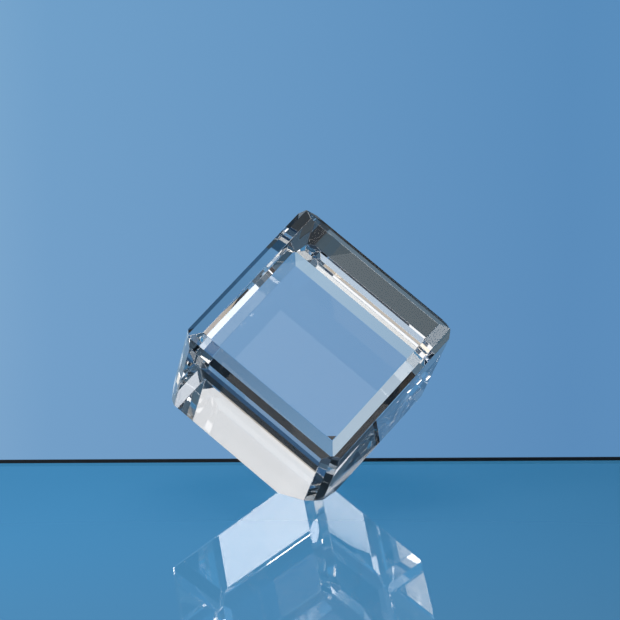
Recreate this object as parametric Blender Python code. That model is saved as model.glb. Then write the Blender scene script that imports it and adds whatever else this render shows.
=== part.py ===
"""Standing bevelled cube of solid optical crystal.

One block of clear crystal: a cube with ground and polished bevels on all its
edges, and one corner ground off flat.  Each bevel is made of two flats that
meet in a shallow ridge.  The flat at the corner is the foot: the cube stands
on it with its front face leaning back and one corner pointing up.

Frame: metres, +Z up, the foot lies on z = 0, the front face looks towards -Y
and the bounding box is centred on x = 0, y = 0.
"""
import math

import bmesh
import bpy
from mathutils import Matrix, Vector

# ---- driving dimensions ---------------------------------------------------
SIDE = 0.0600            # edge length of the cube before bevelling
# A bevel's section runs through three points: its edge on the face, its ridge and
# its edge on the side, each given as (depth below the face, inset from the side).
FACE_BEVEL = [(0.0, 0.0048), (0.0024, 0.0016), (0.0048, 0.0)]     # round front and back face
STEEP_BEVEL = [(0.0, 0.0048), (0.0019, 0.0029), (0.0067, 0.0)]    # the front's upper right edge
EDGE_BEVEL = [(0.0, 0.0042), (0.0019, 0.0019), (0.0042, 0.0)]     # from front to back
LEAN = math.radians(30.0)     # how far the front face leans back from upright
SKEW = math.radians(0.7)      # the foot is ground this far off the symmetric way
CORNER_CUT = 0.0103      # height of the corner tip that is ground away

NODE = "crystal_block"
HALF = SIDE / 2.0


def clear_scene():
    """Start from an empty scene."""
    for old in list(bpy.data.objects):
        bpy.data.objects.remove(old, do_unlink=True)
    for old in list(bpy.data.meshes):
        bpy.data.meshes.remove(old)


def crystal_material():
    """Clear polished crystal glass."""
    material = bpy.data.materials.new("optical_crystal")
    material.use_nodes = True
    shader = material.node_tree.nodes["Principled BSDF"]
    shader.inputs["Base Color"].default_value = (0.97, 0.985, 0.99, 1.0)
    shader.inputs["Roughness"].default_value = 0.0
    shader.inputs["IOR"].default_value = 1.52
    shader.inputs["Transmission Weight"].default_value = 1.0
    return material


def grind(bm, normal, distance):
    """Grind a flat: take away all that lies beyond the plane and close it."""
    unit = Vector(normal).normalized()
    geometry = bm.verts[:] + bm.edges[:] + bm.faces[:]
    cut = bmesh.ops.bisect_plane(
        bm,
        geom=geometry,
        dist=1e-7,
        plane_co=unit * distance,
        plane_no=unit,
        clear_outer=True,
        clear_inner=False,
    )
    rim = [item for item in cut["geom_cut"] if isinstance(item, bmesh.types.BMEdge)]
    bmesh.ops.contextual_create(bm, geom=rim)
    bmesh.ops.recalc_face_normals(bm, faces=bm.faces[:])


def flat_through(face, side, start, end):
    """Plane of a flat that runs along the edge between a face and a side of the cube.

    start and end are two points of the bevel's section.
    """
    across = Vector(face) * (start[1] - end[1]) + Vector(side) * (end[0] - start[0])
    normal = across.normalized()
    point = Vector(face) * (HALF - start[0]) + Vector(side) * (HALF - start[1])
    return normal, normal.dot(point)


def bevel_planes():
    """Normal and distance from the centre of the two flats of each of the twelve bevels."""
    runs = []
    for first in (-1.0, 1.0):
        for second in (-1.0, 1.0):
            # around the front (-Y) and the back (+Y) face
            section = STEEP_BEVEL if (first, second) == (1.0, -1.0) else FACE_BEVEL
            runs.append(((0.0, second, 0.0), (first, 0.0, 0.0), section))
            runs.append(((0.0, second, 0.0), (0.0, 0.0, first), FACE_BEVEL))
            # along the edges that run from front to back
            runs.append(((first, 0.0, 0.0), (0.0, 0.0, second), EDGE_BEVEL))
    planes = []
    for face, side, section in runs:
        planes.append(flat_through(face, side, section[0], section[1]))
        planes.append(flat_through(face, side, section[1], section[2]))
    return planes


def standing_pose():
    """Turn the cube onto its corner and lean its front face back."""
    turn = Matrix.Rotation(-(math.radians(45.0) + SKEW), 4, "Y")
    lean = Matrix.Rotation(-LEAN, 4, "X")
    return lean @ turn


def build_block():
    """Cube, its bevels, standing pose, foot, and the frame of the part."""
    bm = bmesh.new()
    bmesh.ops.create_cube(bm, size=SIDE)
    for normal, distance in bevel_planes():
        grind(bm, normal, distance)

    pose = standing_pose()
    bmesh.ops.transform(bm, matrix=pose, verts=bm.verts[:])

    # the corner of the unbevelled cube that points down, and the foot above it
    corner_heights = []
    for sx in (-HALF, HALF):
        for sy in (-HALF, HALF):
            for sz in (-HALF, HALF):
                corner_heights.append((pose @ Vector((sx, sy, sz))).z)
    foot_height = min(corner_heights) + CORNER_CUT
    grind(bm, (0.0, 0.0, -1.0), -foot_height)

    # put the foot on z = 0 and centre the box in x and y
    xs = [vert.co.x for vert in bm.verts]
    ys = [vert.co.y for vert in bm.verts]
    centre_x = (min(xs) + max(xs)) / 2.0
    centre_y = (min(ys) + max(ys)) / 2.0
    shift = Vector((-centre_x, -centre_y, -foot_height))
    bmesh.ops.translate(bm, vec=shift, verts=bm.verts[:])
    for vert in bm.verts:
        if abs(vert.co.z) < 1e-6:
            vert.co.z = 0.0
    bmesh.ops.recalc_face_normals(bm, faces=bm.faces[:])
    return bm


def main():
    clear_scene()
    bm = build_block()
    mesh = bpy.data.meshes.new(NODE)
    bm.to_mesh(mesh)
    bm.free()
    mesh.materials.append(crystal_material())
    block = bpy.data.objects.new(NODE, mesh)
    bpy.context.scene.collection.objects.link(block)


main()
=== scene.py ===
"""Looks of the standing bevelled crystal cube: a clear block on a glossy pale sheet in a studio.

Studio directions are those of the camera: to the right, away from it, and up.
"""
import math

import bmesh
import bpy
from mathutils import Matrix, Vector


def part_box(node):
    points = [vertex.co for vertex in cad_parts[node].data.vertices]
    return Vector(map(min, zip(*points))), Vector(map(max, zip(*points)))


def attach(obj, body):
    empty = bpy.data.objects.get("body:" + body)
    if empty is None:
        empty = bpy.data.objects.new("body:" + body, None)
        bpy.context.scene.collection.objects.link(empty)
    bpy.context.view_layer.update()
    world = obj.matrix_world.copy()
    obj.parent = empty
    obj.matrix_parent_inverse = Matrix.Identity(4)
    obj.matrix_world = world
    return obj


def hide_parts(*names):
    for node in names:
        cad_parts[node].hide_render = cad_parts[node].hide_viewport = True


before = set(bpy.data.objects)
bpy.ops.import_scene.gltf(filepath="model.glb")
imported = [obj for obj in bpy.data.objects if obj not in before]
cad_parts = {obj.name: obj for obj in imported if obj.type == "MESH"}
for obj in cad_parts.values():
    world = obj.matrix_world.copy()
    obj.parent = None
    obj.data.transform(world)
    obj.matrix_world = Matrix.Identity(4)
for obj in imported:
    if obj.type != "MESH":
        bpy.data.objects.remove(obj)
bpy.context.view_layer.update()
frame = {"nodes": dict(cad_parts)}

NODE = next(iter(frame["nodes"]))
LOW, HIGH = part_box(NODE)
HEIGHT = HIGH.z - LOW.z

# ---- the block --------------------------------------------------------------
CRYSTAL_IOR = 1.52
FLAT_ANGLE = math.radians(0.5)   # triangles closer than this belong to one flat
EASE_ANGLE = math.radians(20.0)  # flats that meet at more than this
EASE_WIDTH = 0.00015             # have the arris between them eased by this much

# ---- camera -----------------------------------------------------------------
HEADING = math.radians(8.7)      # the camera stands this far to the left of the front
PITCH = math.radians(8.5)        # and looks down by this much
DISTANCE = 10.284 * HEIGHT       # from the point it looks at
AIM_HEIGHT = 0.6492 * HEIGHT     # height of that point
AIM_RIGHT = 0.0057 * HEIGHT      # and how far it lies right of the block's middle line
LENS, SENSOR = 174.2, 36.0       # millimetres
NEAREST, FARTHEST = 0.01, 50.0   # metres

# ---- the sheet the block stands on ------------------------------------------
SHEET_IOR = 1.8
SHEET_BACK = 0.588 * HEIGHT      # its back edge, behind the middle of the block
SHEET_TURN = math.radians(-7.3)  # it stands almost square to the camera, and so does the flag
SHEET_FRONT = 6.0 * HEIGHT
SHEET_WIDTH = 14.0 * HEIGHT
SHEET_THICK = 0.005
TRIM_HEIGHT = 0.0115 * HEIGHT    # dark trim along the back edge, above the sheet
TRIM_DEPTH = 0.001
PAINTED_LIGHT_LEFT = 2.0 * HEIGHT         # painted light: the sheet's emission stands in for light on it and is strongest this far to the left of the block
PAINTED_LIGHT_FULL = 1.2 * HEIGHT         # in full up to this distance from there
PAINTED_LIGHT_END = 7.8 * HEIGHT          # and not at all beyond this one
# colour of the painted light the sheet gives off, by how glancing the look is: 0 straight down,
# 1 along the sheet
PAINTED_LIGHT_STOPS = [
    (0.0, (0.050, 0.060, 0.070)),
    (0.55, (0.020, 0.030, 0.042)),
    (0.69, (0.025, 0.055, 0.095)),
    (0.745, (0.048, 0.212, 0.415)),
    (0.80, (0.012, 0.150, 0.315)),
    (1.0, (0.012, 0.140, 0.290)),
]

# ---- the flag, a black card behind the block: two of its corners ------------
FLAG_LOW = (0.08 * HEIGHT, 0.62 * HEIGHT, 0.61 * HEIGHT)
FLAG_HIGH = (0.85 * HEIGHT, 0.63 * HEIGHT, 1.15 * HEIGHT)

# ---- the studio all round ---------------------------------------------------
WORLD_STRENGTH = 3.0
# colour by degrees above the horizon
HEIGHT_STOPS = [
    (-90.0, (0.020, 0.022, 0.025)),
    (-58.0, (0.014, 0.019, 0.025)),
    (-55.5, (0.016, 0.024, 0.030)),
    (-53.0, (0.075, 0.086, 0.092)),
    (-46.0, (0.020, 0.030, 0.040)),
    (-41.5, (0.015, 0.040, 0.070)),
    (-38.5, (0.027, 0.072, 0.130)),
    (-30.0, (0.080, 0.170, 0.290)),
    (-25.0, (0.120, 0.255, 0.440)),
    (-18.0, (0.150, 0.310, 0.530)),
    (-9.0, (0.150, 0.320, 0.555)),
    (-2.0, (0.140, 0.320, 0.555)),
    (6.0, (0.165, 0.290, 0.450)),
    (10.0, (0.050, 0.115, 0.220)),
    (13.0, (0.028, 0.078, 0.170)),
    (16.0, (0.003, 0.004, 0.006)),
    (25.0, (0.003, 0.004, 0.006)),
    (29.0, (0.020, 0.050, 0.100)),
    (50.0, (0.020, 0.025, 0.035)),
    (90.0, (0.030, 0.030, 0.035)),
]
# and a factor on it by degrees to the right
SIDE_STOPS = [
    (-60.0, (0.190, 0.140, 0.105)),
    (-45.0, (0.110, 0.115, 0.105)),
    (-30.0, (0.530, 0.320, 0.225)),
    (-14.0, (0.850, 0.600, 0.460)),
    (-5.0, (0.385, 0.365, 0.352)),
    (0.0, (0.315, 0.322, 0.328)),
    (5.0, (0.235, 0.275, 0.300)),
    (18.0, (0.300, 0.340, 0.350)),
    (38.0, (0.080, 0.135, 0.175)),
    (60.0, (0.070, 0.115, 0.150)),
]

# ---- lamps: name, azimuth, elevation, reach, size, brightness, colour -------
WHITE = (1.0, 1.0, 1.0)
CREAM = (1.0, 0.96, 0.90)
BEIGE = (1.0, 0.86, 0.68)
LAMPS = [
    ("softbox_key", 161.5, 48.5, 0.9, (0.29, 0.17), 1.0, WHITE),
    ("softbox_left", -136.0, 29.0, 0.9, (0.44, 0.32), 4.3, CREAM),
    ("wall_left", -139.0, 11.0, 1.3, (0.62, 0.34), 1.25, BEIGE),
    ("wall_front", -166.0, 15.0, 1.3, (0.50, 0.30), 0.55, BEIGE),
    ("softbox_right", 114.0, 8.0, 0.9, (0.26, 0.22), 1.45, WHITE),
    ("wall_right", 131.0, 12.0, 0.9, (0.24, 0.22), 0.45, BEIGE),
    ("softbox_top", 0.0, 88.0, 1.2, (1.0, 1.0), 1.6, WHITE),
]


def look_matrix(place, target):
    """Matrix of a camera or lamp at place that looks at target, level with the horizon."""
    turn = (Vector(target) - Vector(place)).to_track_quat("-Z", "Y")
    return Matrix.Translation(place) @ turn.to_matrix().to_4x4()


def studio_point(right, back, up):
    """A point given in studio directions, in metres."""
    turn = Matrix.Rotation(-HEADING, 3, "Z")
    return turn @ Vector((right, back, 0.0)) + Vector((0.0, 0.0, up))


# ---- materials --------------------------------------------------------------

def new_material(name):
    """A fresh material, its node tree and its Principled shader."""
    material = bpy.data.materials.new(name)
    material.use_nodes = True
    tree = material.node_tree
    return material, tree, tree.nodes["Principled BSDF"]


def fill_ramp(ramp, stops):
    """Give a colour ramp its stops, each a position from 0 to 1 and a colour."""
    elements = ramp.elements
    elements.remove(elements[0])
    for i, (place, colour) in enumerate(stops):
        element = elements[0] if i == 0 else elements.new(place)
        element.position = place
        element.color = (*colour, 1.0)


def add_noise(tree, scale, detail):
    """Noise in the object's own space; scale counts per metre."""
    place = tree.nodes.new("ShaderNodeTexCoord")
    noise = tree.nodes.new("ShaderNodeTexNoise")
    noise.inputs["Scale"].default_value = scale
    noise.inputs["Detail"].default_value = detail
    tree.links.new(place.outputs["Object"], noise.inputs["Vector"])
    return noise.outputs["Fac"]


def add_spread(tree, value, start, end, low, high):
    """A number that runs from low to high while value runs from start to end."""
    spread = tree.nodes.new("ShaderNodeMapRange")
    spread.inputs["From Min"].default_value = start
    spread.inputs["From Max"].default_value = end
    spread.inputs["To Min"].default_value = low
    spread.inputs["To Max"].default_value = high
    tree.links.new(value, spread.inputs["Value"])
    return spread.outputs["Result"]


def add_bump(tree, shader, noise, strength, depth):
    """Unevenness of the surface, depth in metres."""
    bump = tree.nodes.new("ShaderNodeBump")
    bump.inputs["Strength"].default_value = strength
    bump.inputs["Distance"].default_value = depth
    tree.links.new(noise, bump.inputs["Height"])
    tree.links.new(bump.outputs["Normal"], shader.inputs["Normal"])


def crystal_material():
    """Clear polished crystal with a few hazy smudges and a hint of hand-ground waviness."""
    material, tree, shader = new_material("optical_crystal_polished")
    shader.inputs["Base Color"].default_value = (1.0, 1.0, 1.0, 1.0)
    shader.inputs["IOR"].default_value = CRYSTAL_IOR
    shader.inputs["Transmission Weight"].default_value = 1.0
    smudges = add_noise(tree, scale=55.0, detail=4.0)
    haze = add_spread(tree, smudges, start=0.56, end=0.80, low=0.0, high=0.05)
    tree.links.new(haze, shader.inputs["Roughness"])
    waves = add_noise(tree, scale=28.0, detail=1.0)
    add_bump(tree, shader, waves, strength=0.5, depth=0.00003)
    return material


def painted_light_by_distance(tree):
    """Strength of the painted light on the sheet: brightest to the left of the block, fading
    with distance.
    """
    place = tree.nodes.new("ShaderNodeTexCoord")
    away = tree.nodes.new("ShaderNodeVectorMath")
    away.operation = "DISTANCE"
    away.inputs[1].default_value = studio_point(-PAINTED_LIGHT_LEFT, 0.0, 0.0)
    tree.links.new(place.outputs["Object"], away.inputs[0])
    return add_spread(tree, away.outputs["Value"], PAINTED_LIGHT_FULL, PAINTED_LIGHT_END, low=1.0, high=0.0)


def sheet_material():
    """Glossy sheet with painted light: an emission, pale blue at a glancing look and dark when
    seen from above, stands in for the light on it.
    """
    material, tree, shader = new_material("glossy_sheet_painted_light")
    shader.inputs["Base Color"].default_value = (0.09, 0.18, 0.27, 1.0)
    shader.inputs["IOR"].default_value = SHEET_IOR
    wipes = add_noise(tree, scale=40.0, detail=3.0)
    gloss = add_spread(tree, wipes, start=0.35, end=0.70, low=0.006, high=0.022)
    tree.links.new(gloss, shader.inputs["Roughness"])
    # painted light: the emission colour follows how glancing the look is, and its strength the
    # distance from a point left of the block
    look = tree.nodes.new("ShaderNodeLayerWeight")
    painted_light_ramp = tree.nodes.new("ShaderNodeValToRGB")
    fill_ramp(painted_light_ramp.color_ramp, PAINTED_LIGHT_STOPS)
    tree.links.new(look.outputs["Facing"], painted_light_ramp.inputs["Fac"])
    tree.links.new(painted_light_ramp.outputs["Color"], shader.inputs["Emission Color"])
    tree.links.new(painted_light_by_distance(tree), shader.inputs["Emission Strength"])
    return material


def trim_material():
    """Matt near-black with a fine grain."""
    material, tree, shader = new_material("dark_trim")
    shader.inputs["Base Color"].default_value = (0.012, 0.012, 0.014, 1.0)
    grain = add_noise(tree, scale=900.0, detail=2.0)
    matt = add_spread(tree, grain, start=0.3, end=0.7, low=0.42, high=0.60)
    tree.links.new(matt, shader.inputs["Roughness"])
    add_bump(tree, shader, grain, strength=0.3, depth=0.0001)
    return material


# ---- the block --------------------------------------------------------------

def build_block():
    """The CAD block with its coplanar faces joined and its arrises eased by a hair."""
    bm = bmesh.new()
    bm.from_mesh(frame["nodes"][NODE].data)
    bmesh.ops.remove_doubles(bm, verts=bm.verts[:], dist=1e-6)
    bmesh.ops.dissolve_limit(bm, angle_limit=FLAT_ANGLE, verts=bm.verts[:], edges=bm.edges[:])
    bmesh.ops.recalc_face_normals(bm, faces=bm.faces[:])
    mesh = bpy.data.meshes.new("crystal_body")
    bm.to_mesh(mesh)
    bm.free()
    mesh.materials.append(crystal_material())
    block = bpy.data.objects.new("crystal_body", mesh)
    bpy.context.scene.collection.objects.link(block)
    ease = block.modifiers.new("eased_arrises", "BEVEL")
    ease.width = EASE_WIDTH
    ease.segments = 2
    ease.limit_method = "ANGLE"
    ease.angle_limit = EASE_ANGLE
    ease.harden_normals = True
    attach(block, "root")
    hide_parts(NODE)


# ---- the set ----------------------------------------------------------------

def build_slab(name, low, high, material):
    """A block of the set between two corners, in the directions of the sheet's edges."""
    bm = bmesh.new()
    bmesh.ops.create_cube(bm, size=1.0)
    size = [high[i] - low[i] for i in range(3)]
    middle = [(high[i] + low[i]) / 2.0 for i in range(3)]
    turn = Matrix.Rotation(SHEET_TURN, 3, "Z")
    bmesh.ops.scale(bm, vec=size, verts=bm.verts[:])
    bmesh.ops.translate(bm, vec=middle, verts=bm.verts[:])
    bmesh.ops.rotate(bm, cent=(0, 0, 0), matrix=turn, verts=bm.verts[:])
    mesh = bpy.data.meshes.new(name)
    bm.to_mesh(mesh)
    bm.free()
    mesh.materials.append(material)
    slab = bpy.data.objects.new(name, mesh)
    bpy.context.scene.collection.objects.link(slab)
    return slab


def build_floor():
    """The glossy sheet and the dark trim along its back edge."""
    half = SHEET_WIDTH / 2.0
    low = (-half, -SHEET_FRONT, -SHEET_THICK)
    high = (half, SHEET_BACK, 0.0)
    build_slab("sheet", low, high, sheet_material())
    low = (-half, SHEET_BACK, -SHEET_THICK)
    high = (half, SHEET_BACK + TRIM_DEPTH, TRIM_HEIGHT)
    build_slab("sheet_trim", low, high, trim_material())


def build_flag():
    """The flag: only reflections show it, so that it darkens an edge of the block."""
    flag = build_slab("flag", FLAG_LOW, FLAG_HIGH, trim_material())
    flag.visible_camera = False
    flag.visible_transmission = False
    flag.visible_shadow = False


def add_ramp(tree, vector, axis, stops):
    """Colour by how many degrees a direction rises towards an axis, from -90 to 90."""
    part = tree.nodes.new("ShaderNodeVectorMath")
    part.operation = "DOT_PRODUCT"
    part.inputs[1].default_value = axis
    tree.links.new(vector, part.inputs[0])
    along = add_spread(tree, part.outputs["Value"], start=-1.0, end=1.0, low=0.0, high=1.0)
    ramp = tree.nodes.new("ShaderNodeValToRGB")
    tree.links.new(along, ramp.inputs["Fac"])
    placed = []
    for degrees, colour in stops:
        placed.append(((math.sin(math.radians(degrees)) + 1.0) / 2.0, colour))
    fill_ramp(ramp.color_ramp, placed)
    return ramp.outputs["Color"]


def build_world():
    """A blue backdrop with dark above and below, paler to the left."""
    world = bpy.data.worlds.new("studio")
    bpy.context.scene.world = world
    world.use_nodes = True
    tree = world.node_tree
    direction = tree.nodes.new("ShaderNodeTexCoord").outputs["Generated"]
    height = add_ramp(tree, direction, (0.0, 0.0, 1.0), HEIGHT_STOPS)
    side = add_ramp(tree, direction, studio_point(1.0, 0.0, 0.0), SIDE_STOPS)
    product = tree.nodes.new("ShaderNodeVectorMath")
    product.operation = "MULTIPLY"
    tree.links.new(height, product.inputs[0])
    tree.links.new(side, product.inputs[1])
    background = tree.nodes["Background"]
    background.inputs["Strength"].default_value = WORLD_STRENGTH
    tree.links.new(product.outputs["Vector"], background.inputs["Color"])


# ---- lamps and camera -------------------------------------------------------

def add_softbox(name, azimuth, elevation, reach, size, brightness, colour):
    """A rectangular lamp that faces the block and that the camera doesn't see.

    azimuth counts in degrees to the right of where the camera looks, reach and
    size in metres; brightness is how bright the lamp's face looks, 1 being white.
    """
    turn, up = math.radians(azimuth), math.radians(elevation)
    level = reach * math.cos(up)
    place = studio_point(level * math.sin(turn), level * math.cos(turn), reach * math.sin(up))
    data = bpy.data.lights.new(name, "AREA")
    data.shape = "RECTANGLE"
    data.size, data.size_y = size
    data.energy = brightness * math.pi * size[0] * size[1]
    data.color = colour
    lamp = bpy.data.objects.new(name, data)
    lamp.matrix_world = look_matrix(place, (0.0, 0.0, HEIGHT / 2.0))
    lamp.visible_camera = False
    bpy.context.scene.collection.objects.link(lamp)


def build_camera():
    """The camera, which looks at a point just above the middle of the block."""
    data = bpy.data.cameras.new("camera")
    data.lens, data.sensor_width = LENS, SENSOR
    data.clip_start, data.clip_end = NEAREST, FARTHEST
    camera = bpy.data.objects.new("camera", data)
    bpy.context.scene.collection.objects.link(camera)
    middle = (LOW + HIGH) / 2.0
    target = Vector((middle.x, middle.y, LOW.z)) + studio_point(AIM_RIGHT, 0.0, AIM_HEIGHT)
    level = DISTANCE * math.cos(PITCH)
    place = target + studio_point(0.0, -level, DISTANCE * math.sin(PITCH))
    camera.matrix_world = look_matrix(place, target)
    bpy.context.scene.camera = camera


def main():
    build_block()
    build_floor()
    build_flag()
    build_world()
    for lamp in LAMPS:
        add_softbox(*lamp)
    build_camera()
    scene = bpy.context.scene
    scene.view_settings.view_transform = "Standard"
    scene.cycles.max_bounces = 24
    scene.cycles.transmission_bounces = 24
    scene.cycles.glossy_bounces = 16


main()
